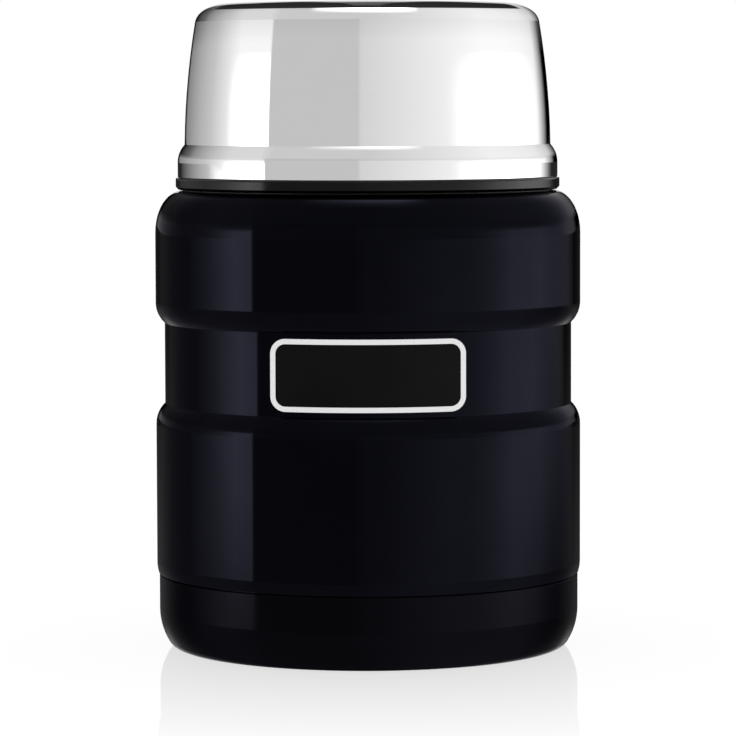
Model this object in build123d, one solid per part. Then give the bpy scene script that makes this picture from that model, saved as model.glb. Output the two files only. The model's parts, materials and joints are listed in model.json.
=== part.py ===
"""Vacuum-insulated food jar with a screw-on serving-bowl lid, a screw stopper and a folding spoon.

Millimetres, +Z up, origin on the floor at the jar's axis, front towards -Y.
Each sub-part is one function that returns one solid, and goes to parts/NAME.step.
"""

import math
import os

from build123d import *

# --- Body: driving dimensions ---
BAND_R = 47.0  # the two broad bands of the body
WAIST_DEPTH = 2.0  # how far the narrow stretch between them lies in
STEP_R = 6.0  # rounding that rolls each band down to the waist
RIM_ROLL = 0.35  # how far the shell's lower rim is rolled in
RIM_ROLL_HEIGHT = 2.4
LOWER_BAND_HEIGHT = 33.0  # from the seam to the start of the lower step
WAIST_HEIGHT = 17.85
UPPER_BAND_HEIGHT = 15.35
SHOULDER_WIDTH = 6.0  # radial reach of the rounded shoulder
SHOULDER_RISE = 9.3
NECK_SETBACK = 9.6  # of the neck behind the bands
NECK_HEIGHT = 16.0
NECK_ROOT_R = 1.0  # fillet where the neck leaves the shoulder
SHELL_WALL = 0.6

# --- Base cup ---
BASE_SETBACK = 0.54  # of the cup's side behind the bands
BASE_HEIGHT = 16.3
BASE_WALL = 0.6
BASE_SIDE_R = 13.5  # large rounding of the side
BASE_SIDE_TOP_Z = 8.5  # where that rounding meets the straight wall
BASE_CORNER_R = 3.0
BASE_RIM_ROUND = 0.3
FOOT_WIDTH = 7.0  # flat ring that the jar stands on
FOOT_HEIGHT = 1.2  # how far the middle of the base is raised
SEAM_GAP = 0.3  # between base cup and shell

# --- Vacuum space ---
SKIRT_REACH = 0.5  # of the shell's skirt below the straight part of the base cup's wall
PLATE_WALL = 0.6
PLATE_LIP = 1.2
PORT_R = 1.6
PORT_CAP_R = 3.4
PORT_CAP_HEIGHT = 0.6
VACUUM_GAP = 2.0  # between the walls at the waist
FLOOR_GAP = 2.4  # between the vessel's floor and the closing plate
NECK_GAP = 1.0
FOIL_WALL = 0.2
FOIL_MARGIN = 3.0  # how far the foil stays from the vessel's rounded ends
GETTER_R = 3.5
GETTER_HEIGHT = 1.2
GETTER_OFFSET = 20.0
CLIP_WALL = 0.3
CLIP_WIDTH = 6.0
CLIP_FOOT = 2.5

# --- Inner vessel ---
VESSEL_WALL = 0.5
VESSEL_CORNER_R = 9.0
VESSEL_SHOULDER_RISE = 11.0
LEDGE_DEPTH = 16.0  # from the lip down to the sealing ledge
LEDGE_WIDTH = 2.6
LEDGE_LAND = 1.6
LIP_ROUND = 0.35

# --- Threads ---
LID_LEAD = 12.0  # rise in one turn
LID_STARTS = 3
LID_THREAD_RISE = 3.9  # of the neck's thread, above its shoulder
LID_NECK_THREAD_TURN = 165.0  # degrees that each ridge covers
LID_COLLAR_THREAD_TURN = 145.0
LID_THREAD_LAG = 24.0  # degrees from a neck ridge's start to the collar ridge's
STOPPER_LEAD = 8.0
STOPPER_STARTS = 2
STOPPER_THREAD_RISE = 6.0  # of the mouth's thread, above the sealing ledge
STOPPER_MOUTH_THREAD_TURN = 175.0
STOPPER_PLUG_THREAD_TURN = 175.0
THREAD_DEPTH = 1.1
PLUG_THREAD_DEPTH = 1.0
THREAD_ROOT_WIDTH = 1.9
THREAD_CREST_WIDTH = 0.9
THREAD_SINK = 0.3  # how deep a ridge is rooted in its wall

# --- Nameplate ---
NAMEPLATE_WIDTH = 41.4  # straight across
NAMEPLATE_MARGIN = 1.2  # between the nameplate and each end of the waist
NAMEPLATE_CORNER_R = 3.2
BORDER_WIDTH = 1.1
BORDER_RISE = 0.6
FIELD_RISE = 0.4

# --- Lid ---
LID_GAP = 0.25  # between the collar and the shoulder
COLLAR_WALL = 3.4  # from the collar's bore to its rim
COLLAR_RIM_HEIGHT = 2.6
COLLAR_CHAMFER = 0.6
COLLAR_ROUND = 0.35  # of the rim's upper edge
COLLAR_TONGUE = 1.05  # how far the collar reaches above the lid's crease
GROOVE_WIDTH = 1.6  # of the lid gasket's groove
GROOVE_DEPTH = 1.2
LIP_BAND_SETBACK = 0.45  # of the lid's lower edge behind the collar's rim
LIP_BAND_HEIGHT = 3.3
LID_RIM_ROUND = 0.25  # of the lid's lower edge
LIP_BULGE_R = 5.8
CREASE_DEPTH = 1.55  # how far the bulged lip runs in to the crease
LID_TAPER = 2.4  # from the crease to the rounded top edge
LID_SHELL_HEIGHT = 38.1
LID_CORNER_WIDTH = 6.7
LID_CORNER_RISE = 4.5
LID_CORNER_START = 6.4  # degrees, where the wall runs smoothly into the corner
LID_WALL = 0.5
LID_AIR_GAP = 0.9
BOWL_WALL = 0.4
BOWL_RIM_HEIGHT = 0.5

# --- Stopper ---
PLUG_FOOT_HEIGHT = 1.4
PLUG_WALL = 1.6
GASKET_RISE = 0.6  # of the gasket's top above the ledge
GASKET_BITE = 1.2  # how deep the gasket sits in the plug
FLANGE_SETBACK = 0.6  # of the flange behind the neck
FLANGE_HEIGHT = 2.6
CROWN_SETBACK = 2.6  # of the crown behind the flange
CROWN_HEIGHT = 3.6
CROWN_NOTCHES = 24
CROWN_NOTCH_R = 1.5
COVER_WALL = 1.5
COVER_DROP = 0.2  # below the crown's top
COVER_SEAT = 1.7  # width of the ledge under the cover
POCKET_END_GAP = 0.6  # between the pocket's wall and the plug's bore

# --- Spoon ---
SPOON_LENGTH = 37.0  # of its bowl
SPOON_WIDTH = 24.0
SPOON_DEPTH = 5.0
SPOON_WALL = 0.8
SPOON_END_GAP = 1.5  # between the folded spoon and the pocket's ends
SPOON_SIDE_GAP = 2.0  # between the bowl and the pocket's sides
HANDLE_END_GAP = 5.75  # between the handle's free end and the pocket's end
HANDLE_WIDTH = 11.0
HANDLE_WALL = 1.2
HANDLE_SLOT_LENGTH = 26.0
HANDLE_SLOT_WIDTH = 3.0
KNUCKLE_R = 1.75
KNUCKLE_WIDTH = 4.0
PIVOT_R = 0.8
PIVOT_HEAD_R = 1.3
PIVOT_HEAD_WIDTH = 0.5

# --- Clearances ---
FIT = 0.05  # between pieces that are fixed together
SLIP = 0.1  # where one piece is pushed into another, and in the spoon's pivot
RUN = 0.3  # between pieces that move past each other
PLUG_RUN = 0.4  # between the stopper and the vessel's mouth
THREAD_RUN = 0.5  # from a ridge's crest to the collar's bore
PAST = 1.0  # how far a cut runs past the face that it opens

# --- Derived sizes ---
WAIST_R = BAND_R - WAIST_DEPTH
NECK_R = BAND_R - NECK_SETBACK
STEP_RISE = math.sqrt(STEP_R**2 - (STEP_R - WAIST_DEPTH) ** 2)
SHELL_RIM_Z = BASE_HEIGHT + SEAM_GAP
LOWER_STEP_Z = SHELL_RIM_Z + LOWER_BAND_HEIGHT
WAIST_LOW_Z = LOWER_STEP_Z + STEP_RISE
WAIST_HIGH_Z = WAIST_LOW_Z + WAIST_HEIGHT
UPPER_STEP_Z = WAIST_HIGH_Z + STEP_RISE
UPPER_BAND_TOP_Z = UPPER_STEP_Z + UPPER_BAND_HEIGHT
SHOULDER_Z = UPPER_BAND_TOP_Z + SHOULDER_RISE
LIP_Z = SHOULDER_Z + NECK_HEIGHT
NECK_TOP_Z = LIP_Z - SHELL_WALL

BASE_R = BAND_R - BASE_SETBACK
BASE_SIDE_CENTRE = (BASE_R - BASE_SIDE_R, BASE_SIDE_TOP_Z)
FOOT_R = BASE_SIDE_CENTRE[0] + math.sqrt(
    (BASE_SIDE_R - BASE_CORNER_R) ** 2 - (BASE_SIDE_TOP_Z - BASE_CORNER_R) ** 2
)  # of the flat ring that the jar stands on, where the corner's rounding starts
SKIRT_R = BASE_R - BASE_WALL - SLIP
SKIRT_LOW_Z = BASE_SIDE_TOP_Z - SKIRT_REACH
PLATE_Z = SKIRT_LOW_Z + PLATE_LIP
PLATE_TOP_Z = PLATE_Z + PLATE_WALL
VESSEL_LOW_Z = PLATE_TOP_Z + FLOOR_GAP
CAVITY_FLOOR_Z = VESSEL_LOW_Z + VESSEL_WALL
CAVITY_R = WAIST_R - SHELL_WALL - VACUUM_GAP - VESSEL_WALL
MOUTH_R = NECK_R - SHELL_WALL - NECK_GAP - VESSEL_WALL
LEDGE_R = MOUTH_R - LEDGE_WIDTH
LEDGE_TOP_Z = LIP_Z - LEDGE_DEPTH
LEDGE_LOW_Z = LEDGE_TOP_Z - LEDGE_WIDTH
CAVITY_TOP_Z = LEDGE_LOW_Z - LEDGE_LAND
CAVITY_SHOULDER_Z = CAVITY_TOP_Z - VESSEL_SHOULDER_RISE

COLLAR_BORE_R = NECK_R + THREAD_DEPTH + THREAD_RUN
COLLAR_R = COLLAR_BORE_R + COLLAR_WALL
LIP_BAND_R = COLLAR_R - LIP_BAND_SETBACK
CREASE_R = LIP_BAND_R - CREASE_DEPTH
LID_TOP_R = CREASE_R - LID_TAPER
COLLAR_LOW_Z = SHOULDER_Z + LID_GAP
COLLAR_RIM_TOP_Z = COLLAR_LOW_Z + COLLAR_RIM_HEIGHT
LID_RIM_Z = COLLAR_RIM_TOP_Z + FIT
LIP_BAND_TOP_Z = LID_RIM_Z + LIP_BAND_HEIGHT
CREASE_Z = LIP_BAND_TOP_Z + math.sqrt(LIP_BULGE_R**2 - (LIP_BULGE_R - CREASE_DEPTH) ** 2)
COLLAR_TOP_Z = CREASE_Z + COLLAR_TONGUE
LID_TOP_Z = LID_RIM_Z + LID_SHELL_HEIGHT
BOWL_INSET = LID_WALL + LID_AIR_GAP
GROOVE_R = (COLLAR_BORE_R + COLLAR_R - COLLAR_CHAMFER) / 2  # middle of the lid gasket's groove

NAMEPLATE_HEIGHT = WAIST_HEIGHT - 2 * NAMEPLATE_MARGIN

PLUG_R = MOUTH_R - PLUG_THREAD_DEPTH - PLUG_RUN
PLUG_FOOT_R = LEDGE_R - PLUG_RUN
GASKET_LOW_Z = LEDGE_LOW_Z + PLUG_RUN
GASKET_TOP_Z = LEDGE_TOP_Z + GASKET_RISE
GASKET_INNER_R = PLUG_FOOT_R - GASKET_BITE
PLUG_LOW_Z = GASKET_LOW_Z - PLUG_FOOT_HEIGHT
PLUG_BORE_R = GASKET_INNER_R - PLUG_WALL
PLUG_FLOOR_Z = PLUG_LOW_Z + PLUG_WALL
FLANGE_R = NECK_R - FLANGE_SETBACK
CROWN_R = FLANGE_R - CROWN_SETBACK
FLANGE_Z = LIP_Z + RUN
FLANGE_TOP_Z = FLANGE_Z + FLANGE_HEIGHT
CROWN_TOP_Z = FLANGE_TOP_Z + CROWN_HEIGHT
COVER_TOP_Z = CROWN_TOP_Z - COVER_DROP
COVER_Z = COVER_TOP_Z - COVER_WALL
COVER_R = PLUG_BORE_R + COVER_SEAT
POCKET_LENGTH = 2 * (PLUG_BORE_R - COVER_WALL - POCKET_END_GAP)
POCKET_WIDTH = SPOON_WIDTH + 2 * SPOON_SIDE_GAP
POCKET_DEPTH = RUN + SPOON_DEPTH + RUN + HANDLE_WALL + SLIP
POCKET_FLOOR_Z = COVER_TOP_Z - POCKET_DEPTH
PAN_LOW_Z = POCKET_FLOOR_Z - COVER_WALL

SPOON_RIM_Z = POCKET_FLOOR_Z + RUN + SPOON_DEPTH
HANDLE_Z = SPOON_RIM_Z + RUN
PIVOT_Z = SPOON_RIM_Z + SLIP
PIVOT_X = -(POCKET_LENGTH / 2 - SPOON_END_GAP - KNUCKLE_R)
SPOON_X = POCKET_LENGTH / 2 - SPOON_END_GAP - SPOON_LENGTH / 2
HANDLE_END_X = POCKET_LENGTH / 2 - HANDLE_END_GAP
BIG = 200.0  # longer than any piece
SAME_POINT = 1e-6


class Outline:
    """A closed outline in (radius, height), drawn from point to point and spun about Z."""

    def __init__(self, radius, height):
        self.start = (radius, height)
        self.here = self.start
        self.edges = []

    def line(self, radius, height):
        self.edges.append(Line(self.here, (radius, height)))
        self.here = (radius, height)
        return self

    def arc(self, centre, radius, height):
        """A circular arc about centre, the short way to (radius, height)."""
        size = math.dist(centre, self.here)
        middle = Vector(self.here) + Vector(radius, height) - Vector(centre) * 2
        through = Vector(centre) + middle.normalized() * size
        self.edges.append(ThreePointArc(self.here, through, (radius, height)))
        self.here = (radius, height)
        return self

    def oval(self, centre, half_width, half_height, start, end):
        """Part of an ellipse between two of its own angles, from start to end."""
        low, high = sorted((start, end))
        part = EllipticalCenterArc(centre, half_width, half_height, low, arc_size=high - low)
        self.edges.append(part)
        self.here = oval_point(centre, half_width, half_height, end)
        return self

    def tangent_to(self, radius, height, direction):
        """A circular arc that leaves along direction and ends at (radius, height)."""
        self.edges.append(TangentArc(self.here, (radius, height), tangent=direction))
        self.here = (radius, height)
        return self

    def spin(self):
        if math.dist(self.here, self.start) > SAME_POINT:
            self.line(*self.start)
        return revolve(Plane.XZ * make_face(self.edges), Axis.Z)


def oval_point(centre, half_width, half_height, angle):
    turn = math.radians(angle)
    return (centre[0] + half_width * math.cos(turn), centre[1] + half_height * math.sin(turn))


def disc(radius, low, high, inner=0.0):
    """A disc, or a ring if inner is given, between two heights."""
    return Outline(inner, low).line(radius, low).line(radius, high).line(inner, high).spin()


def ridge(root_r, crest_r, z, lead, turn, angle):
    """One right-handed thread ridge, from the wall at root_r to its crest, starting at an angle."""
    side = math.copysign(1.0, crest_r - root_r)
    buried_r = root_r - side * THREAD_SINK
    half_root = THREAD_ROOT_WIDTH / 2
    half_crest = THREAD_CREST_WIDTH / 2
    section = Polyline(
        (buried_r, -half_root),
        (root_r, -half_root),
        (crest_r, -half_crest),
        (crest_r, half_crest),
        (root_r, half_root),
        (buried_r, half_root),
        close=True,
    )
    path = Helix(pitch=lead, height=lead * turn / 360, radius=root_r)
    swept = sweep(Plane.XZ * make_face(section), path=path, is_frenet=True)
    return Pos(0, 0, z) * Rot(0, 0, angle) * swept


def thread(root_r, crest_r, z, lead, starts, turn, lag=0.0):
    """All ridges of a thread; lag turns them on along their own helix."""
    z_start = z + lead * lag / 360
    return [
        ridge(root_r, crest_r, z_start, lead, turn, lag + 360 * k / starts) for k in range(starts)
    ]


# --- Jar body ---


def body_solid(inset, over):
    """The outer shell's outline moved in by a wall; over lengthens both of its open ends."""
    band_r = BAND_R - inset
    rim_r = band_r - RIM_ROLL
    rim_z = SHELL_RIM_Z + inset
    rim_top_z = rim_z + RIM_ROLL_HEIGHT
    rim_arc_r = (RIM_ROLL**2 + RIM_ROLL_HEIGHT**2) / (2 * RIM_ROLL)
    step_r = STEP_R - inset
    step_rise = math.sqrt(step_r**2 - (step_r - WAIST_DEPTH) ** 2)
    step_centre_r = BAND_R - STEP_R
    shoulder_centre = (BAND_R - SHOULDER_WIDTH, UPPER_BAND_TOP_Z)
    neck_centre = (NECK_R + NECK_ROOT_R, SHOULDER_Z + NECK_ROOT_R)
    low = SKIRT_LOW_Z - over
    high = NECK_TOP_Z + over
    outline = Outline(0, low).line(SKIRT_R - inset, low).line(SKIRT_R - inset, rim_z)
    outline.line(rim_r, rim_z)
    outline.arc((band_r - rim_arc_r, rim_top_z), band_r, rim_top_z)
    outline.line(band_r, LOWER_STEP_Z)
    outline.arc((step_centre_r, LOWER_STEP_Z), WAIST_R - inset, LOWER_STEP_Z + step_rise)
    outline.line(WAIST_R - inset, UPPER_STEP_Z - step_rise)
    outline.arc((step_centre_r, UPPER_STEP_Z), band_r, UPPER_STEP_Z)
    outline.line(band_r, UPPER_BAND_TOP_Z)
    outline.oval(shoulder_centre, SHOULDER_WIDTH - inset, SHOULDER_RISE - inset, 0, 90)
    outline.line(neck_centre[0], SHOULDER_Z - inset)
    outline.arc(neck_centre, NECK_R - inset, neck_centre[1])
    return outline.line(NECK_R - inset, high).line(0, high).spin()


def outer_shell():
    shell = body_solid(0.0, 0.0) - body_solid(SHELL_WALL, PAST)
    crest_r = NECK_R + THREAD_DEPTH
    z = SHOULDER_Z + LID_THREAD_RISE
    return shell + thread(NECK_R, crest_r, z, LID_LEAD, LID_STARTS, LID_NECK_THREAD_TURN)


def base_solid(inset, floor, high):
    """The base cup's outline moved in by a wall, standing on floor and cut off at high."""
    corner_centre = (FOOT_R, BASE_CORNER_R)
    outward = (Vector(corner_centre) - Vector(BASE_SIDE_CENTRE)).normalized()
    meet = Vector(corner_centre) + outward * (BASE_CORNER_R - inset)
    outline = Outline(0, floor).line(FOOT_R, floor)
    outline.arc(corner_centre, meet.X, meet.Y)
    outline.arc(BASE_SIDE_CENTRE, BASE_R - inset, BASE_SIDE_TOP_Z)
    return outline.line(BASE_R - inset, high).line(0, high).spin()


def raised_floor(low, high, spread):
    """A disc with a sloping edge, raised in the middle of the base."""
    inner_r = FOOT_R - FOOT_WIDTH + spread
    return Outline(0, low).line(inner_r, low).line(inner_r - FOOT_HEIGHT, high).line(0, high).spin()


def base_cup():
    cup = base_solid(0.0, 0.0, BASE_HEIGHT)
    rim = cup.edges().group_by(Axis.Z)[-1]
    cup = fillet(rim, BASE_RIM_ROUND)
    hollow = base_solid(BASE_WALL, BASE_WALL, BASE_HEIGHT + PAST)
    hollow -= raised_floor(0, FOOT_HEIGHT + BASE_WALL, FOOT_HEIGHT)
    return cup - hollow - raised_floor(0, FOOT_HEIGHT, 0)


def outer_bottom():
    """A dished plate, its lip turned down inside the shell's skirt, with the pump-out hole."""
    radius = SKIRT_R - SHELL_WALL - FIT
    plate = disc(radius, SKIRT_LOW_Z, PLATE_TOP_Z) - disc(radius - PLATE_WALL, 0, PLATE_Z)
    plate = fillet(plate.edges().filter_by(GeomType.CIRCLE).group_by(Axis.Z)[-1], PLATE_WALL / 2)
    return plate - disc(PORT_R, 0, LIP_Z)


def vacuum_port_seal():
    stem = disc(PORT_R - FIT, PLATE_Z - FIT, PLATE_TOP_Z + PORT_CAP_HEIGHT / 2)
    return stem + disc(PORT_CAP_R, PLATE_Z - FIT - PORT_CAP_HEIGHT, PLATE_Z - FIT)


def vessel_solid(outset, over):
    """The food space moved out by a wall; over lengthens it past the lip."""
    wall_r = CAVITY_R + outset
    floor = CAVITY_FLOOR_Z - outset
    corner_centre = (CAVITY_R - VESSEL_CORNER_R, CAVITY_FLOOR_Z + VESSEL_CORNER_R)
    half_width = CAVITY_R - LEDGE_R + outset
    half_height = VESSEL_SHOULDER_RISE + outset
    shoulder_end = math.degrees(math.acos(outset / half_width))
    ledge_shift = outset * (math.sqrt(2) - 1)
    high = LIP_Z + over
    outline = Outline(0, floor).line(corner_centre[0], floor)
    outline.arc(corner_centre, wall_r, corner_centre[1])
    outline.line(wall_r, CAVITY_SHOULDER_Z)
    outline.oval((LEDGE_R, CAVITY_SHOULDER_Z), half_width, half_height, 0, shoulder_end)
    outline.line(LEDGE_R + outset, LEDGE_LOW_Z - ledge_shift)
    outline.line(MOUTH_R + outset, LEDGE_TOP_Z - ledge_shift)
    return outline.line(MOUTH_R + outset, high).line(0, high).spin()


def inner_vessel():
    vessel = vessel_solid(VESSEL_WALL, 0.0) + disc(NECK_R, NECK_TOP_Z, LIP_Z)
    lip_edge = vessel.edges().filter_by(GeomType.CIRCLE).group_by(Axis.Z)[-1]
    vessel = fillet(lip_edge, LIP_ROUND) - vessel_solid(0.0, PAST)
    crest_r = MOUTH_R - PLUG_THREAD_DEPTH
    z = LEDGE_TOP_Z + STOPPER_THREAD_RISE
    return vessel + thread(
        MOUTH_R, crest_r, z, STOPPER_LEAD, STOPPER_STARTS, STOPPER_MOUTH_THREAD_TURN
    )


def radiation_foil():
    inner = CAVITY_R + VESSEL_WALL + FIT
    low = CAVITY_FLOOR_Z + VESSEL_CORNER_R + FOIL_MARGIN
    return disc(inner + FOIL_WALL, low, CAVITY_SHOULDER_Z - FOIL_MARGIN, inner)


def getter_clip():
    """A strap under the vessel's floor: two feet against the floor and a tray for the pellet."""
    tray_half = GETTER_R + FIT + CLIP_WALL
    tray_low = VESSEL_LOW_Z - FIT - GETTER_HEIGHT - 2 * CLIP_WALL
    top = VESSEL_LOW_Z - FIT
    half = tray_half + CLIP_FOOT
    outline = Polyline(
        (-half, top),
        (-half, top - CLIP_WALL),
        (-tray_half, top - CLIP_WALL),
        (-tray_half, tray_low),
        (tray_half, tray_low),
        (tray_half, top - CLIP_WALL),
        (half, top - CLIP_WALL),
        (half, top),
        (tray_half - CLIP_WALL, top),
        (tray_half - CLIP_WALL, tray_low + CLIP_WALL),
        (CLIP_WALL - tray_half, tray_low + CLIP_WALL),
        (CLIP_WALL - tray_half, top),
        close=True,
    )
    strap = extrude(Plane.XZ * make_face(outline), CLIP_WIDTH / 2, both=True)
    return Pos(GETTER_OFFSET, 0, 0) * strap


def getter_pellet():
    low = VESSEL_LOW_Z - GETTER_HEIGHT - CLIP_WALL
    return Pos(GETTER_OFFSET, 0, 0) * disc(GETTER_R, low, low + GETTER_HEIGHT)


# --- Nameplate ---


def plate_block(margin):
    """A block through the front of the waist, the nameplate's outline less a margin all round."""
    middle = (WAIST_LOW_Z + WAIST_HIGH_Z) / 2
    outline = Pos(0, middle) * RectangleRounded(
        NAMEPLATE_WIDTH - 2 * margin, NAMEPLATE_HEIGHT - 2 * margin, NAMEPLATE_CORNER_R - margin
    )
    return extrude(Plane.XZ * outline, BIG)


def on_waist(rise):
    inner = WAIST_R + FIT
    return disc(inner + rise, WAIST_LOW_Z, WAIST_HIGH_Z, inner)


def nameplate_frame():
    return (on_waist(BORDER_RISE) & plate_block(0.0)) - plate_block(BORDER_WIDTH)


def nameplate_panel():
    return on_waist(FIELD_RISE) & plate_block(BORDER_WIDTH + FIT)


# --- Lid ---


def lip_bulge(inset):
    """Radius and height of the crease above the lid's bulged lip, moved in by a wall."""
    reach = LIP_BULGE_R - inset
    across = reach - (LIP_BAND_R - CREASE_R)
    return (CREASE_R - inset, LIP_BAND_TOP_Z + math.sqrt(reach**2 - across**2))


def lid_solid(inset, low):
    """The lid's outline moved in by a wall, down to low."""
    lip_r = LIP_BAND_R - inset
    crease = lip_bulge(inset)
    corner_centre = (LID_TOP_R - LID_CORNER_WIDTH, LID_TOP_Z - LID_CORNER_RISE)
    half_width = LID_CORNER_WIDTH - inset
    half_height = LID_CORNER_RISE - inset
    start = math.radians(LID_CORNER_START)
    corner_start = oval_point(corner_centre, half_width, half_height, LID_CORNER_START)
    down = Vector(half_width * math.sin(start), -half_height * math.cos(start))
    outline = Outline(*corner_start)
    outline.tangent_to(*crease, down)
    outline.arc((LIP_BAND_R - LIP_BULGE_R, LIP_BAND_TOP_Z), lip_r, LIP_BAND_TOP_Z)
    outline.line(lip_r, low).line(0, low).line(0, corner_centre[1] + half_height)
    outline.line(corner_centre[0], corner_centre[1] + half_height)
    return outline.oval(corner_centre, half_width, half_height, 90, LID_CORNER_START).spin()


def lid_outer_shell():
    lid = lid_solid(0.0, LID_RIM_Z)
    rim = lid.edges().group_by(Axis.Z)[0]
    return fillet(rim, LID_RIM_ROUND) - lid_solid(LID_WALL, LID_RIM_Z - PAST)


def lid_inner_bowl():
    """The bowl's own wall, with a rim turned out over the collar's top."""
    low = COLLAR_TOP_Z + FIT
    wall = lid_solid(BOWL_INSET, LID_RIM_Z) - disc(BIG, 0, low)
    rim = disc(CREASE_R - LID_WALL - FIT - SLIP, low, low + BOWL_RIM_HEIGHT)
    return wall + rim - lid_solid(BOWL_INSET + BOWL_WALL, 0)


def lid_collar():
    """The black ring: a rim that shows below the lid, a sleeve inside it and the lid's thread."""
    sleeve_r = LIP_BAND_R - LID_WALL - FIT
    crease = lip_bulge(LID_WALL + FIT)
    rounding = (COLLAR_R - COLLAR_ROUND, COLLAR_RIM_TOP_Z - COLLAR_ROUND)
    outline = Outline(COLLAR_BORE_R, COLLAR_LOW_Z)
    outline.line(COLLAR_R - COLLAR_CHAMFER, COLLAR_LOW_Z)
    outline.line(COLLAR_R, COLLAR_LOW_Z + COLLAR_CHAMFER)
    outline.line(COLLAR_R, rounding[1])
    outline.arc(rounding, rounding[0], COLLAR_RIM_TOP_Z)
    outline.line(sleeve_r, COLLAR_RIM_TOP_Z)
    outline.line(sleeve_r, LIP_BAND_TOP_Z)
    outline.arc((LIP_BAND_R - LIP_BULGE_R, LIP_BAND_TOP_Z), *crease)
    outline.line(crease[0] - SLIP, COLLAR_TOP_Z)
    collar = outline.line(COLLAR_BORE_R, COLLAR_TOP_Z).spin()
    groove_top = COLLAR_LOW_Z + GROOVE_DEPTH
    collar -= disc(GROOVE_R + GROOVE_WIDTH / 2, 0, groove_top, GROOVE_R - GROOVE_WIDTH / 2)
    z = SHOULDER_Z + LID_THREAD_RISE - LID_LEAD / LID_STARTS / 2
    crest_r = COLLAR_BORE_R - THREAD_DEPTH
    return collar + thread(
        COLLAR_BORE_R, crest_r, z, LID_LEAD, LID_STARTS, LID_COLLAR_THREAD_TURN, LID_THREAD_LAG
    )


def lid_gasket():
    half = GROOVE_WIDTH / 2 - RUN
    top = COLLAR_LOW_Z + GROOVE_DEPTH - FIT
    return disc(GROOVE_R + half, SHOULDER_Z + FIT, top, GROOVE_R - half)


# --- Stopper ---


def plug_outline():
    """The stopper's outer outline, from its foot up to the flange, closed along the axis."""
    outline = Outline(0, PLUG_LOW_Z).line(PLUG_FOOT_R, PLUG_LOW_Z)
    outline.line(PLUG_FOOT_R, GASKET_LOW_Z).line(GASKET_INNER_R, GASKET_LOW_Z)
    outline.line(GASKET_INNER_R, GASKET_TOP_Z).line(PLUG_R, GASKET_TOP_Z)
    outline.line(PLUG_R, FLANGE_Z).line(FLANGE_R, FLANGE_Z).line(FLANGE_R, FLANGE_TOP_Z)
    outline.line(CROWN_R, FLANGE_TOP_Z).line(CROWN_R, CROWN_TOP_Z)
    return outline.line(0, CROWN_TOP_Z)


def stopper_body():
    body = plug_outline().spin()
    seat_z = COVER_Z - FIT
    body -= disc(PLUG_BORE_R, PLUG_FLOOR_Z, BIG)
    body -= disc(COVER_R + FIT, seat_z, BIG)
    notch = disc(CROWN_NOTCH_R, FLANGE_TOP_Z, BIG)
    body -= PolarLocations(CROWN_R + CROWN_NOTCH_R / 2, CROWN_NOTCHES) * notch
    crest_r = PLUG_R + PLUG_THREAD_DEPTH
    z = LEDGE_TOP_Z + STOPPER_THREAD_RISE - STOPPER_LEAD / STOPPER_STARTS / 2
    return body + thread(PLUG_R, crest_r, z, STOPPER_LEAD, STOPPER_STARTS, STOPPER_PLUG_THREAD_TURN)


def stopper_foam():
    return disc(PLUG_BORE_R - FIT, PLUG_FLOOR_Z + FIT, PAN_LOW_Z - FIT)


def pocket(margin, low, high):
    slot = SlotOverall(POCKET_LENGTH + 2 * margin, POCKET_WIDTH + 2 * margin)
    return Pos(0, 0, low) * extrude(slot, high - low)


def stopper_cover():
    cover = disc(COVER_R, COVER_Z, COVER_TOP_Z) + pocket(COVER_WALL, PAN_LOW_Z, COVER_TOP_Z)
    return cover - pocket(0.0, POCKET_FLOOR_Z, COVER_TOP_Z + PAST)


def stopper_gasket():
    """A ring in the plug's groove, bevelled along the ledge, that passes inside the mouth's thread."""
    low = GASKET_LOW_Z + FIT
    top = GASKET_TOP_Z - FIT
    inner_r = GASKET_INNER_R + RUN
    outer_r = MOUTH_R - PLUG_THREAD_DEPTH - RUN
    bevel_rise = outer_r - LEDGE_R + RUN * math.sqrt(2)
    bevel_z = LEDGE_LOW_Z + bevel_rise
    outline = Outline(inner_r, low).line(outer_r - (bevel_z - low), low).line(outer_r, bevel_z)
    return outline.line(outer_r, top).line(inner_r, top).spin()


# --- Spoon, folded in the stopper's pocket ---


def half_egg(inset):
    """The lower half of an ellipsoid, moved in by a wall."""
    size = (SPOON_LENGTH / 2 - inset, SPOON_WIDTH / 2 - inset, SPOON_DEPTH - inset)
    ball = Pos(SPOON_X, 0, SPOON_RIM_Z) * scale(Sphere(1.0), size)
    return ball - disc(BIG, SPOON_RIM_Z, SPOON_RIM_Z + BIG)


def knuckle(width, y):
    """A hinge knuckle about the pivot's axis, centred at y."""
    return Pos(PIVOT_X, y, PIVOT_Z) * Rot(90, 0, 0) * Cylinder(KNUCKLE_R, width)


def pivot_hole():
    return Pos(PIVOT_X, 0, PIVOT_Z) * Rot(90, 0, 0) * Cylinder(PIVOT_R + FIT, BIG)


def bar(x_low, x_high, width, z, height):
    """A flat bar along X."""
    return Pos((x_low + x_high) / 2, 0, z + height / 2) * Box(x_high - x_low, width, height)


def spoon_bowl():
    bowl = half_egg(0.0) - half_egg(SPOON_WALL)
    bowl_end = SPOON_X - SPOON_LENGTH / 2
    tang = bar(PIVOT_X, bowl_end + SPOON_WALL, KNUCKLE_WIDTH, SPOON_RIM_Z - SPOON_WALL, SPOON_WALL)
    return bowl + tang + knuckle(KNUCKLE_WIDTH, 0) - pivot_hole()


def side_knuckle_width():
    return (HANDLE_WIDTH - KNUCKLE_WIDTH) / 2 - SLIP


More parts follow.
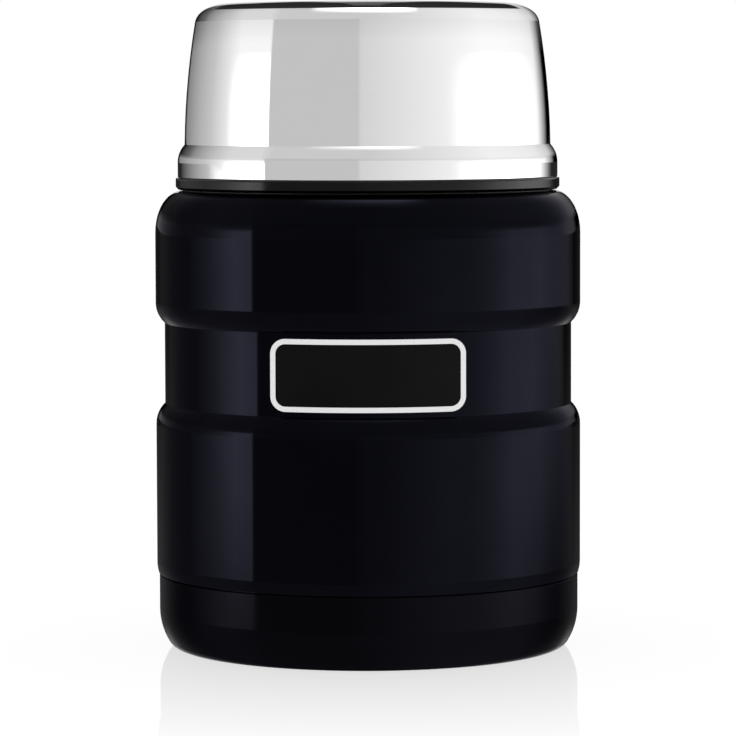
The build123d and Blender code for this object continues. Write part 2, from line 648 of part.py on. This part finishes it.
def spoon_handle():
    """A flat strip over the bowl, forked at the pivot, with a hole to save weight and a round end."""
    end_centre = HANDLE_END_X - HANDLE_WIDTH / 2
    strip = bar(PIVOT_X, end_centre, HANDLE_WIDTH, HANDLE_Z, HANDLE_WALL)
    round_end = Cylinder(HANDLE_WIDTH / 2, HANDLE_WALL)
    strip += Pos(end_centre, 0, HANDLE_Z + HANDLE_WALL / 2) * round_end
    middle = (PIVOT_X + HANDLE_END_X) / 2
    slot = extrude(SlotOverall(HANDLE_SLOT_LENGTH, HANDLE_SLOT_WIDTH), BIG)
    strip -= Pos(middle, 0, HANDLE_Z - PAST) * slot
    gap = KNUCKLE_WIDTH + 2 * SLIP
    fork_end = PIVOT_X + KNUCKLE_R + RUN
    strip -= bar(PIVOT_X - KNUCKLE_R, fork_end, gap, HANDLE_Z - PAST, BIG)
    y = KNUCKLE_WIDTH / 2 + SLIP + side_knuckle_width() / 2
    strip += knuckle(side_knuckle_width(), y)
    strip += knuckle(side_knuckle_width(), -y)
    return strip - pivot_hole()


def spoon_pivot():
    """A rivet through the knuckles, with a head at each end."""
    half = HANDLE_WIDTH / 2 + FIT
    pin = Cylinder(PIVOT_R, 2 * half)
    head = Cylinder(PIVOT_HEAD_R, PIVOT_HEAD_WIDTH)
    for side in (-1, 1):
        pin += Pos(0, 0, side * (half + PIVOT_HEAD_WIDTH / 2)) * head
    return Pos(PIVOT_X, 0, PIVOT_Z) * Rot(90, 0, 0) * pin


PIECES = [
    outer_shell,
    base_cup,
    outer_bottom,
    vacuum_port_seal,
    inner_vessel,
    radiation_foil,
    getter_clip,
    getter_pellet,
    nameplate_frame,
    nameplate_panel,
    lid_outer_shell,
    lid_inner_bowl,
    lid_collar,
    lid_gasket,
    stopper_body,
    stopper_foam,
    stopper_cover,
    stopper_gasket,
    spoon_bowl,
    spoon_handle,
    spoon_pivot,
]

os.makedirs("parts", exist_ok=True)
for make_piece in PIECES:
    export_step(make_piece(), f"parts/{make_piece.__name__}.step")
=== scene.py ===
"""Looks of the insulated food jar: finishes of every piece, floor, studio light and camera."""

import json
import math

import bpy
from mathutils import Matrix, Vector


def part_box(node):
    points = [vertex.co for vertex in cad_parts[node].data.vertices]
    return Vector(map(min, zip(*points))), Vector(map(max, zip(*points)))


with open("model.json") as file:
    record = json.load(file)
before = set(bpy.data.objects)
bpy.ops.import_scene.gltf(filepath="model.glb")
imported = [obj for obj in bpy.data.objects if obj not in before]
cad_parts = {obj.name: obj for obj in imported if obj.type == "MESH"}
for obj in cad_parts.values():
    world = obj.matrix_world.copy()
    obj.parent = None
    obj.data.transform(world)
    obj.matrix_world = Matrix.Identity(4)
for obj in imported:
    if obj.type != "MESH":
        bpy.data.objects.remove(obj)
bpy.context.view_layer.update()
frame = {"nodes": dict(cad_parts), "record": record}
NODES = frame["nodes"]

WHITE = (1.0, 1.0, 1.0)

# ---------------------------------------------------------------- node helpers


def feed(tree, socket, value):
    """Give a socket another node's output, or a number or colour of its own."""
    if isinstance(value, bpy.types.NodeSocket):
        tree.links.new(value, socket)
    else:
        socket.default_value = value


def add_node(tree, kind, inputs, **settings):
    """A new node with these settings, and with its inputs fed by name or number."""
    node = tree.nodes.new(kind)
    for name, value in settings.items():
        setattr(node, name, value)
    for name, value in inputs.items():
        feed(tree, node.inputs[name], value)
    return node


def opaque(colour):
    """A colour with the fourth number that Blender's sockets want."""
    return (*colour, 1.0)


def new_material(name):
    """A material with nothing but an output, its tree, and the output's surface socket."""
    mat = bpy.data.materials.new(name)
    mat.use_nodes = True
    tree = mat.node_tree
    tree.nodes.clear()
    return mat, tree, tree.nodes.new("ShaderNodeOutputMaterial").inputs["Surface"]


def principled(name):
    """A material with a Principled shader, its tree, and the shader."""
    mat, tree, surface = new_material(name)
    shader = tree.nodes.new("ShaderNodeBsdfPrincipled")
    tree.links.new(shader.outputs["BSDF"], surface)
    return mat, tree, shader


def place(tree):
    """The point on the piece, in metres."""
    return tree.nodes.new("ShaderNodeTexCoord").outputs["Object"]


def split(tree, vector):
    """The X, Y and Z of a vector."""
    return tuple(add_node(tree, "ShaderNodeSeparateXYZ", {"Vector": vector}).outputs)


def joined(tree, x, y):
    """The vector x, y, 0."""
    return add_node(tree, "ShaderNodeCombineXYZ", {"X": x, "Y": y}).outputs["Vector"]


def vector_math(tree, kind, inputs, output="Vector"):
    """The result of a Vector Math node."""
    return add_node(tree, "ShaderNodeVectorMath", inputs, operation=kind).outputs[output]


def length(tree, vector):
    """The length of a vector."""
    return vector_math(tree, "LENGTH", {0: vector}, "Value")


def compute(tree, kind, *values):
    """The result of a Math node on numbers or other nodes' outputs."""
    return add_node(tree, "ShaderNodeMath", dict(enumerate(values)), operation=kind).outputs["Value"]


def product(tree, total, *others):
    """All the values multiplied together."""
    for value in others:
        total = compute(tree, "MULTIPLY", total, value)
    return total


def plus(tree, total, value, weight):
    """total + value * weight."""
    return compute(tree, "MULTIPLY_ADD", value, weight, total)


def angle(tree, rise, run):
    """The angle whose tangent is rise / run, in degrees."""
    return compute(tree, "DEGREES", compute(tree, "ARCTAN2", rise, run))


def between(tree, value, start, end, first=0.0, last=1.0):
    """first where value is at start, last where it is at end, and a straight slope between them."""
    inputs = {"Value": value, "From Min": start, "From Max": end, "To Min": first, "To Max": last}
    return add_node(tree, "ShaderNodeMapRange", inputs).outputs["Result"]


def mixed(tree, share, first, second, kind="FLOAT"):
    """first where share is 0 and second where it is 1; kind is FLOAT, or RGBA for colours."""
    inputs = {"Factor": share, "A": first, "B": second}
    return add_node(tree, "ShaderNodeMix", inputs, data_type=kind).outputs["Result"]


def blend(tree, share, first, second):
    """The first shader where share is 0, and the second where it is 1."""
    return add_node(tree, "ShaderNodeMixShader", {0: share, 1: first, 2: second}).outputs["Shader"]


def ray_is(tree, kind):
    """1 for rays of that kind, and 0 for others."""
    return tree.nodes.new("ShaderNodeLightPath").outputs[f"Is {kind} Ray"]


# ---------------------------------------------------------------- finishes

# Waves of noise to the metre.
PAINT_CLOUDS = 55.0
PAINT_GRAIN = 900.0
ORANGE_PEEL = 420.0
STEEL_SMEARS = 38.0
MOULDED_CLOUDS = 60.0

# Most values of one noise texture lie in NOISE_SPAN. When so much of another is added, most of the
# sums lie in the span that follows.
NOISE_SPAN = (0.3, 0.7)
GLOSS_SHARE = 0.5
GLOSS_SPAN = (0.5, 1.0)
SMEAR_SHARE = 0.6
SMEAR_SPAN = (0.55, 1.05)

# Marks of turning and polishing: how much they change as the direction from the axis turns, and how
# much their finer waves count.
MARKS_AROUND = 0.4
MARKS_ROUGH = 0.7

# Satin steel of the neck, where the shell isn't painted.
BARE_DARK = (0.5, 0.5, 0.49)
BARE_LIGHT = (0.68, 0.675, 0.66)
BARE_ROUGH = (0.2, 0.34)
BARE_LINES = 5200.0

# The neck is bare from just above its root, where the lid's collar hides it.
NECK_ROOT = 0.001
BARE_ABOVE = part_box("lid_collar")[0][2] + NECK_ROOT


def noise(tree, where, scale, detail=4.0, rough=0.55):
    """Noise of that scale, with detail and rough for its finer waves."""
    inputs = {"Vector": where, "Scale": scale, "Detail": detail, "Roughness": rough}
    return add_node(tree, "ShaderNodeTexNoise", inputs).outputs["Fac"]


def tint(tree, value, span, dark, light):
    """A colour from dark to light, as value goes through the span."""
    return mixed(tree, between(tree, value, *span), opaque(dark), opaque(light), "RGBA")


def uneven(tree, value, span, rough, least, most):
    """A roughness from the least to the most share of rough, as value goes through the span."""
    return between(tree, value, *span, rough * least, rough * most)


def bump(tree, shader, height, depth):
    """Height relief of that depth, in metres, on the shader."""
    node = add_node(tree, "ShaderNodeBump", {"Distance": depth, "Height": height})
    tree.links.new(node.outputs["Normal"], shader.inputs["Normal"])


def round_marks(tree, lines, around=MARKS_AROUND):
    """Noise in marks that run round the axis, with that many waves to the metre across them."""
    x, y, z = split(tree, place(tree))
    flat = joined(tree, x, y)
    direction = vector_math(tree, "NORMALIZE", {0: flat})
    along = vector_math(tree, "SCALE", {0: direction, "Scale": around})
    across = vector_math(tree, "SCALE", {0: joined(tree, length(tree, flat), z), "Scale": lines})
    where = vector_math(tree, "ADD", {0: along, 1: across})
    return noise(tree, where, scale=1.0, rough=MARKS_ROUGH)


def paint(name, dark, light, edge, rough, peel, bare_above=None):
    """Dark metallic lacquer: slight orange peel, uneven gloss, a little variation of colour.

    dark and light bound what it mirrors straight on, and edge is how much it keeps near its outline.
    Above the height bare_above the piece isn't painted, and shows its satin steel.
    """
    mat, tree, shader = principled(name)
    shader.inputs["Metallic"].default_value = 1.0
    shader.inputs["Specular Tint"].default_value = opaque(edge)
    where = place(tree)
    cloud = noise(tree, where, PAINT_CLOUDS)
    colour = tint(tree, cloud, NOISE_SPAN, dark, light)
    both = plus(tree, cloud, noise(tree, where, PAINT_GRAIN, detail=2.0), GLOSS_SHARE)
    gloss = uneven(tree, both, GLOSS_SPAN, rough, least=0.85, most=1.2)
    if bare_above is not None:
        height = split(tree, where)[2]
        bare = compute(tree, "GREATER_THAN", height, bare_above)
        marks = round_marks(tree, BARE_LINES)
        colour = mixed(tree, bare, colour, tint(tree, marks, NOISE_SPAN, BARE_DARK, BARE_LIGHT), "RGBA")
        gloss = mixed(tree, bare, gloss, between(tree, marks, *NOISE_SPAN, *BARE_ROUGH))
    tree.links.new(colour, shader.inputs["Base Color"])
    tree.links.new(gloss, shader.inputs["Roughness"])
    bump(tree, shader, noise(tree, where, ORANGE_PEEL, detail=2.0), peel)
    return mat


def steel(name, dark, light, rough, lines, depth, around=MARKS_AROUND, edge=1.0):
    """Steel with round marks of that depth; edge is how much it keeps near its outline."""
    mat, tree, shader = principled(name)
    shader.inputs["Metallic"].default_value = 1.0
    shader.inputs["Specular Tint"].default_value = opaque((edge, edge, edge))
    marks = round_marks(tree, lines, around)
    smear = noise(tree, place(tree), STEEL_SMEARS)
    colour = tint(tree, plus(tree, marks, smear, SMEAR_SHARE), SMEAR_SPAN, dark, light)
    gloss = uneven(tree, smear, NOISE_SPAN, rough, least=0.75, most=1.3)
    tree.links.new(colour, shader.inputs["Base Color"])
    tree.links.new(gloss, shader.inputs["Roughness"])
    bump(tree, shader, marks, depth)
    return mat


def moulded(name, dark, light, rough, level, grain, depth):
    """Moulded plastic, rubber or foam: uneven gloss, and grain of that scale and depth."""
    mat, tree, shader = principled(name)
    shader.inputs["Specular IOR Level"].default_value = level
    where = place(tree)
    cloud = noise(tree, where, MOULDED_CLOUDS)
    fine = noise(tree, where, grain, detail=3.0)
    both = plus(tree, fine, cloud, GLOSS_SHARE)
    gloss = uneven(tree, both, GLOSS_SPAN, rough, least=0.85, most=1.15)
    tree.links.new(tint(tree, cloud, NOISE_SPAN, dark, light), shader.inputs["Base Color"])
    tree.links.new(gloss, shader.inputs["Roughness"])
    bump(tree, shader, fine, depth)
    return mat


# How each material slot is finished.
FINISHES = {
    "body_paint": (paint, {
        "dark": (0.0037, 0.0039, 0.0060), "light": (0.0043, 0.0045, 0.0068),
        "edge": (0.55, 0.55, 0.57), "rough": 0.045, "peel": 0.0000005, "bare_above": BARE_ABOVE,
    }),
    # Painted shade: the base cup has the body's paint, set a little darker and less blue here so that
    # it mirrors less of the studio.
    "base_paint": (paint, {
        "dark": (0.0034, 0.0035, 0.0049), "light": (0.0039, 0.0040, 0.0055),
        "edge": (0.52, 0.52, 0.53), "rough": 0.13, "peel": 0.0000008,
    }),
    "polished_steel": (steel, {
        "dark": (0.79, 0.79, 0.79), "light": (0.81, 0.81, 0.808),
        "edge": 0.72, "rough": 0.025, "lines": 2600.0, "depth": 0.00000006,
    }),
    "plain_steel": (steel, {
        "dark": (0.52, 0.515, 0.505), "light": (0.7, 0.695, 0.68),
        "rough": 0.26, "lines": 5200.0, "depth": 0.000004,
    }),
    "spoon_steel": (steel, {
        "dark": (0.6, 0.6, 0.59), "light": (0.72, 0.72, 0.71),
        "rough": 0.2, "lines": 3000.0, "around": 60.0, "depth": 0.000003,
    }),
    "foil": (steel, {
        "dark": (0.78, 0.78, 0.79), "light": (0.9, 0.9, 0.91),
        "rough": 0.22, "lines": 180.0, "around": 9.0, "depth": 0.0003,
    }),
    "getter": (moulded, {
        "dark": (0.14, 0.14, 0.14), "light": (0.26, 0.26, 0.26),
        "rough": 0.8, "level": 0.3, "grain": 2600.0, "depth": 0.00004,
    }),
    "nameplate_silver": (moulded, {
        "dark": (0.93, 0.93, 0.94), "light": (0.97, 0.97, 0.98),
        "rough": 0.32, "level": 0.5, "grain": 2200.0, "depth": 0.000004,
    }),
    "nameplate_black": (moulded, {
        "dark": (0.003, 0.003, 0.003), "light": (0.005, 0.005, 0.005),
        "rough": 0.3, "level": 0.05, "grain": 2600.0, "depth": 0.000004,
    }),
    "black_plastic": (moulded, {
        "dark": (0.0009, 0.0009, 0.0010), "light": (0.0016, 0.0016, 0.0017),
        "rough": 0.13, "level": 0.16, "grain": 2400.0, "depth": 0.0000015,
    }),
    "silicone": (moulded, {
        "dark": (0.022, 0.022, 0.023), "light": (0.038, 0.038, 0.04),
        "rough": 0.5, "level": 0.3, "grain": 1500.0, "depth": 0.00001,
    }),
    "foam": (moulded, {
        "dark": (0.78, 0.77, 0.72), "light": (0.9, 0.89, 0.85),
        "rough": 0.9, "level": 0.2, "grain": 1300.0, "depth": 0.0002,
    }),
}
MATERIALS = {name: finish(name, **values) for name, (finish, values) in FINISHES.items()}

# The stopper is moulded with a duller face than the polished ring in the lid.
STOPPER_PIECES = ("stopper_body", "stopper_cover")
STOPPER_FINISH = moulded(
    "stopper_plastic", dark=(0.009, 0.009, 0.0095), light=(0.015, 0.015, 0.016),
    rough=0.38, level=0.4, grain=2400.0, depth=0.000006,
)

for piece in frame["record"]["subparts"]:
    node = NODES[piece["node"]]
    own = STOPPER_FINISH if piece["node"] in STOPPER_PIECES else MATERIALS[piece["material_slot"]]
    for entry in node.material_slots:
        entry.material = own

# ---------------------------------------------------------------- floor

# Half of the floor's side, in metres.
FLOOR_HALF = 12.0
# Just under the jar's foot, so that the two don't lie in one plane.
FLOOR_DROP = -0.00005
# What the floor sends back to the jar.
FLOOR_MATT = (0.8, 0.8, 0.8)
# What the camera sees of it: a white of its own, and a little that the jar's shadow takes away.
FLOOR_WHITE = (0.94, 0.94, 0.94)
FLOOR_SHADED = (0.1, 0.1, 0.1)
# The jar's mirror image has its full share at the first distance from the axis, and ends at the second.
MIRROR_SHARE = 0.25
MIRROR_REACH = (0.042, 0.16)
MIRROR_ROUGH = 0.03


def diffuse(tree, colour):
    """A matt shader of that colour."""
    return add_node(tree, "ShaderNodeBsdfDiffuse", {"Color": opaque(colour)}).outputs["BSDF"]


def floor_material():
    """Plain white that keeps the jar's shadow, with a faint mirror image near the jar."""
    mat, tree, surface = new_material("floor_white")
    glow = add_node(tree, "ShaderNodeEmission", {"Color": opaque(FLOOR_WHITE)}).outputs["Emission"]
    shaded = diffuse(tree, FLOOR_SHADED)
    white = add_node(tree, "ShaderNodeAddShader", {0: shaded, 1: glow}).outputs["Shader"]
    mirror = add_node(tree, "ShaderNodeBsdfGlossy", {"Color": opaque(WHITE), "Roughness": MIRROR_ROUGH})
    share = between(tree, length(tree, place(tree)), *MIRROR_REACH, MIRROR_SHARE, 0.0)
    seen = blend(tree, share, white, mirror.outputs["BSDF"])
    tree.links.new(blend(tree, ray_is(tree, "Camera"), diffuse(tree, FLOOR_MATT), seen), surface)
    return mat


def make_floor():
    """A large floor. Glossy pieces don't mirror it, since the studio has a table of its own."""
    mesh = bpy.data.meshes.new("floor")
    corners = [(-1, -1), (1, -1), (1, 1), (-1, 1)]
    points = [(x * FLOOR_HALF, y * FLOOR_HALF, FLOOR_DROP) for x, y in corners]
    mesh.from_pydata(points, [], [range(len(points))])
    mesh.materials.append(floor_material())
    floor = bpy.data.objects.new("floor", mesh)
    floor.visible_glossy = False
    bpy.context.scene.collection.objects.link(floor)


make_floor()

# ---------------------------------------------------------------- surroundings

# What the jar mirrors: cards round it. A card's place is given by how a piece of the jar's wall
# stands where the camera sees the card in it. Facing is 0 to the front and + to the right, tilt is
# + where the wall leans back, both in degrees. The camera is reckoned level, so upright walls, which
# it looks down on, come out at tilts of about -4 to -1, and the lid's wall comes out at 2 to 9.

# Each card grows from nothing at its first facing to its full level, the last number, at the
# second, and falls off again from the third to the fourth. Cards that overlap add up, and the last
# of the low ones is a dim level all round.
TABLE_CARDS = [
    (-86.0, -50.0, 44.0, 84.0, 0.75),
    (-62.0, -44.0, -36.0, -30.0, 0.15),
    (-4.0, 20.0, 44.0, 62.0, 0.5),
]
LOW_CARDS = [
    (-78.0, -47.0, -32.6, -31.8, 0.85),
    (-56.0, -45.0, -41.0, -34.0, 1.2),
    (-32.6, -31.8, -4.0, 0.0, 0.53),
    (-4.0, 0.0, 62.0, 74.0, 0.75),
    (4.0, 22.0, 58.0, 72.0, 0.75),
    (-91.0, -90.0, 90.0, 91.0, 0.03),
]
LID_CARDS = [
    (-83.0, -79.5, -32.6, -31.8, 0.38),
    (-79.5, -58.0, -32.6, -31.8, 0.32),
    (-58.0, -45.0, -32.6, -31.8, 0.46),
    (-32.6, -31.8, -3.0, -2.0, 0.67),
    (-3.0, -2.0, 68.0, 77.0, 0.8),
    (-2.0, 40.0, 68.0, 78.0, 0.41),
]
HIGH_CARDS = [
    (-82.0, -66.0, 62.0, 78.0, 0.25),
    (-70.0, -46.0, -34.0, -30.0, 0.6),
    (-34.0, -30.0, -4.0, 0.0, 0.48),
    (-4.0, 0.0, 72.0, 84.0, 0.48),
    (0.0, 40.0, 72.0, 82.0, 0.36),
]

# Where one set gives way to the next. The low cards are for the body's walls, and turn into the
# table's where both the tilt and the direction itself drop. The lid's cards are for its wall, and
# dim a little before the high ones, for the roundings over it, take their place.
TABLE_TILT = (-4.2, -7.5)
TABLE_UP = (-0.06, -0.14)
LID_TILT = (-0.95, -0.88)
LID_DIM = 0.8
LID_DIM_TILT = (8.6, 10.0)
HIGH_TILT = (8.0, 15.0)

# Softboxes on top of the cards, each from nothing to full and back over its facings and its tilts:
# the left one is sharp towards the front, and the right one is soft on both sides. The one overhead
# grows brighter towards straight up. SOFTNESS is a power that rounds their slopes off.
SOFTBOXES = [
    {"level": 3.6, "facing": (-51.0, -38.0, -32.6, -31.8), "tilt": (-5.2, -3.6, 4.0, 7.6)},
    {"level": 2.2, "facing": (24.0, 42.0, 53.0, 72.0), "tilt": (-6.5, -3.6, 4.0, 7.6)},
]
OVERHEAD_LEVEL = 6.5
OVERHEAD_FACING = (-20.0, 0.0, 9.0, 18.0)
OVERHEAD_TILT = (31.0, 51.0)
SOFTNESS = 2.0

# Patches laid over all that. A patch is a list of slopes: it is nothing up to a slope's first number
# and full from the second on. A slope runs along tilt, side (facing to either side) or a part of the
# direction from the jar: across (to either side), away (from the camera), up, or aside, which is
# across / away.

# Dark above and behind the jar, and right under it.
DARK = 0.03
BEHIND = [("tilt", 50.0, 52.0), ("side", 71.0, 68.0)]
UNDER = [("tilt", -56.0, -64.0), ("away", 0.85, 0.75)]
# A white backdrop straight behind, and a narrow seam above it that dims upwards.
BACKDROP_LEVEL = 0.9
BACKDROP = [("aside", 0.112, 0.1), ("up", 0.0, 0.001), ("up", 0.36, 0.33)]
SEAM_LEVEL = 0.13
SEAM_DIM_UP = (0.48, 0.56)
SEAM = [("across", 0.052, 0.036), ("away", 0.0, 0.02), ("up", 0.32, 0.34), ("up", 0.9, 0.8)]
# The table far behind.
FAR_TABLE_LEVEL = 0.75
FAR_TABLE = [("up", -0.2, -0.3), ("away", 0.8, 0.93)]
# away counts as at least this in aside, so that the division holds for every direction.
LEAST_AWAY = 0.001

# What matt surfaces get from all round, and the white behind the jar.
MATT_LIGHT = 0.9
BACKGROUND = 1.0


def trapezoid(tree, value, steps):
    """1 from the second step to the third, 0 outside the first and the last, and slopes between."""
    start, full, last, end = steps
    return product(tree, between(tree, value, start, full), between(tree, value, end, last))


def cards(tree, facing, rows):
    """The level of a set of cards at each facing."""
    total = 0.0
    for *steps, level in rows:
        total = plus(tree, total, trapezoid(tree, facing, steps), level)
    return total


def studio_level(tree):
    """How bright the studio is in each direction."""
    x, y, z = split(tree, tree.nodes.new("ShaderNodeTexCoord").outputs["Generated"])
    # The wall that mirrors a direction to the camera's side faces halfway between the two.
    back = compute(tree, "SUBTRACT", 1.0, y)
    facing = angle(tree, x, back)
    tilt = angle(tree, z, length(tree, joined(tree, x, back)))
    across = compute(tree, "ABSOLUTE", x)
    measures = {
        "tilt": tilt,
        "side": compute(tree, "ABSOLUTE", facing),
        "across": across,
        "away": y,
        "up": z,
        "aside": compute(tree, "DIVIDE", across, compute(tree, "MAXIMUM", y, LEAST_AWAY)),
    }

    def patch(level, slopes, own):
        share = product(tree, *(between(tree, measures[name], *ends) for name, *ends in slopes))
        return mixed(tree, share, level, own)

    table = product(tree, between(tree, tilt, *TABLE_TILT), between(tree, z, *TABLE_UP))
    level = mixed(tree, table, cards(tree, facing, LOW_CARDS), cards(tree, facing, TABLE_CARDS))
    dimmed = between(tree, tilt, *LID_DIM_TILT, 1.0, LID_DIM)
    lid = product(tree, cards(tree, facing, LID_CARDS), dimmed)
    level = mixed(tree, between(tree, tilt, *LID_TILT), level, lid)
    level = mixed(tree, between(tree, tilt, *HIGH_TILT), level, cards(tree, facing, HIGH_CARDS))

    for box in SOFTBOXES:
        soft = compute(tree, "POWER", trapezoid(tree, facing, box["facing"]), SOFTNESS)
        level = plus(tree, level, product(tree, soft, trapezoid(tree, tilt, box["tilt"])), box["level"])
    soft = compute(tree, "POWER", between(tree, tilt, *OVERHEAD_TILT), SOFTNESS)
    overhead = product(tree, trapezoid(tree, facing, OVERHEAD_FACING), soft)
    level = plus(tree, level, overhead, OVERHEAD_LEVEL)

    level = patch(level, BEHIND, DARK)
    level = patch(level, SEAM, between(tree, z, *SEAM_DIM_UP, BACKDROP_LEVEL, SEAM_LEVEL))
    level = patch(level, BACKDROP, BACKDROP_LEVEL)
    level = patch(level, UNDER, DARK)
    return patch(level, FAR_TABLE, FAR_TABLE_LEVEL)


def make_world():
    """White to the camera, even for matt surfaces, and a studio of cards for what mirrors it."""
    world = bpy.data.worlds.new("studio")
    bpy.context.scene.world = world
    world.use_nodes = True
    tree = world.node_tree
    tree.nodes.clear()

    def background(strength):
        inputs = {"Color": opaque(WHITE), "Strength": strength}
        return add_node(tree, "ShaderNodeBackground", inputs).outputs["Background"]

    light = blend(tree, ray_is(tree, "Glossy"), background(MATT_LIGHT), background(studio_level(tree)))
    seen = blend(tree, ray_is(tree, "Camera"), light, background(BACKGROUND))
    add_node(tree, "ShaderNodeOutputWorld", {"Surface": seen})


make_world()

# ---------------------------------------------------------------- camera

# The lens is in pixels of a picture that is PICTURE_PX wide, and the angles are in radians.
LENS_PX = 3892.4
PICTURE_PX = 736.0
SENSOR_MM = 36.0
CAMERA_AT = (-0.00002, -0.8617, 0.12292)
CAMERA_DOWN = 0.07112
CAMERA_ROLL = -0.0028
CLIP_START = 0.01
CLIP_END = 100.0


def make_camera():
    """The camera in front of the jar, looking down on it a little."""
    data = bpy.data.cameras.new("camera")
    data.sensor_width = SENSOR_MM
    data.lens = LENS_PX / PICTURE_PX * SENSOR_MM
    data.clip_start = CLIP_START
    data.clip_end = CLIP_END
    cam = bpy.data.objects.new("camera", data)
    bpy.context.scene.collection.objects.link(cam)
    cam.matrix_world = (
        Matrix.Translation(CAMERA_AT)
        @ Matrix.Rotation(math.pi / 2 - CAMERA_DOWN, 4, "X")
        @ Matrix.Rotation(CAMERA_ROLL, 4, "Z")
    )
    bpy.context.scene.camera = cam


make_camera()
bpy.context.scene.view_settings.view_transform = "Standard"
